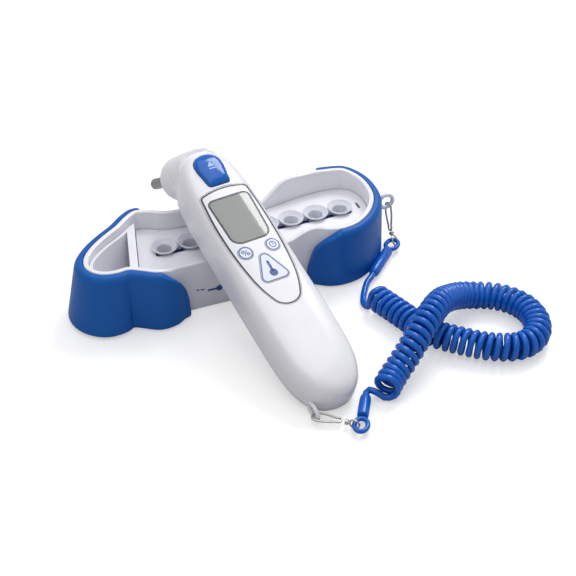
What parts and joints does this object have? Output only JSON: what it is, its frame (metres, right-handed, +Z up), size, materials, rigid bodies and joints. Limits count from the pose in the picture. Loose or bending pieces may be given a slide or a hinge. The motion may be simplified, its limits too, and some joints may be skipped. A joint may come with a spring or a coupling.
{
  "type": "tethered ear thermometer",
  "caption": "Ear thermometer with blue eject button, display and keys, tethered by a curly cord to a storage base with soft end covers and a row of probe covers.",
  "frame": {"origin": "middle of the storage base's flat underside", "axes": "+Z up out of the base, +X along the base towards the tether's eyelet, thermometer's tail towards -Y"},
  "size_m": [0.2413, 0.2299, 0.0775],
  "materials": {
    "white_shell": "smooth gloss",
    "soft_blue": "satin soft-touch",
    "dark_blue": "satin",
    "film": "translucent film",
    "rubber": "matte",
    "steel": "bright wire",
    "overlay": "smooth film",
    "lens": "clear",
    "display": "grey-green display",
    "board": "solder mask",
    "dark": "satin",
    "battery": "printed wrap",
    "key": "smooth",
    "button_blue": "high gloss",
    "frame_grey": "satin",
    "cord_blue": "glossy, slightly translucent"
  },
  "bodies": {
    "base": {"base_shell": "white_shell", "base_plate": "white_shell", "cover_deck": "white_shell", "head_pocket": "white_shell", "cover_cassette": "dark_blue", "left_end_cover": "soft_blue", "right_end_cover": "soft_blue", "base_eyelet": "white_shell", "base_foot_1": "rubber", "base_foot_2": "rubber", "base_foot_3": "rubber", "base_foot_4": "rubber", "base_screw_1": "steel", "base_screw_2": "steel", "probe_cover_1": "film", "probe_cover_2": "film", "probe_cover_3": "film", "probe_cover_4": "film", "probe_cover_5": "film", "probe_cover_6": "film", "probe_cover_7": "film", "probe_cover_8": "film", "base_swivel": "steel", "cord_eye_base": "cord_blue", "cord_sleeve_base": "cord_blue", "cord_lead_base": "cord_blue", "cord_coil": "cord_blue"},
    "thermometer": {"front_shell": "white_shell", "back_shell": "white_shell", "keypad_overlay": "overlay", "display_lens": "lens", "display_panel": "display", "circuit_board": "board", "buzzer": "dark", "battery_1": "battery", "battery_2": "battery", "battery_3": "battery", "battery_contact_1": "steel", "battery_contact_2": "steel", "probe_frame": "frame_grey", "probe_tip": "steel", "sensor_can": "steel", "sensor_window": "dark", "eject_spring": "steel", "tail_eyelet": "white_shell", "case_screw_1": "steel", "case_screw_2": "steel", "cord_lead_tail": "cord_blue", "cord_sleeve_tail": "cord_blue", "cord_eye_tail": "cord_blue", "tail_swivel": "steel"},
    "battery_door": {"battery_door": "white_shell"},
    "scan_button": {"scan_button": "key"},
    "unit_button": {"unit_button": "key"},
    "timer_button": {"timer_button": "key"},
    "eject_button": {"eject_button": "button_blue"},
    "eject_slide": {"eject_sleeve": "white_shell", "eject_yoke": "frame_grey"},
    "base_snap": {"base_snap": "steel"},
    "tail_snap": {"tail_snap": "steel"}
  },
  "joints": [
    {"name": "thermometer_lift", "type": "slide", "parent": "base", "child": "thermometer", "axis": [0, 0, 1], "range_m": [0, 0.09]},
    {"name": "scan_press", "type": "slide", "parent": "thermometer", "child": "scan_button", "axis": [-0.0542, 0.3542, -0.9336], "range_m": [0, 0.0008], "stiffness_N_per_m": 900, "springref_m": -0.0006},
    {"name": "unit_press", "type": "slide", "parent": "thermometer", "child": "unit_button", "axis": [-0.0542, 0.3542, -0.9336], "range_m": [0, 0.0008], "stiffness_N_per_m": 900, "springref_m": -0.0006},
    {"name": "timer_press", "type": "slide", "parent": "thermometer", "child": "timer_button", "axis": [-0.0542, 0.3542, -0.9336], "range_m": [0, 0.0008], "stiffness_N_per_m": 900, "springref_m": -0.0006},
    {"name": "eject_press", "type": "slide", "parent": "thermometer", "child": "eject_button", "axis": [-0.0542, 0.3542, -0.9336], "range_m": [0, 0.003], "stiffness_N_per_m": 700, "springref_m": -0.0015},
    {"name": "eject_travel", "type": "slide", "parent": "thermometer", "child": "eject_slide", "axis": [-0.1254, 0.8195, -0.5592], "range_m": [0, 0.00366], "deforming": ["eject_spring"]},
    {"name": "battery_door_slide", "type": "slide", "parent": "thermometer", "child": "battery_door", "axis": [0.1439, -0.9401, -0.309], "range_m": [0, 0.012]},
    {"name": "base_snap_swivel", "type": "hinge", "parent": "base", "child": "base_snap", "pos_m": [0.1016, 0.0042, 0.0232], "axis": [-0.095, -0.5069, -0.8568], "range_deg": [-8, 10]},
    {"name": "tail_snap_swivel", "type": "hinge", "parent": "thermometer", "child": "tail_snap", "pos_m": [-0.0014, -0.1316, 0.0036], "axis": [0.8254, -0.5643, -0.014], "range_deg": [-12, 12]}
  ],
  "couplings": [
    {"joint": "eject_travel", "follows": "eject_press", "ratio": 1.22}
  ]
}
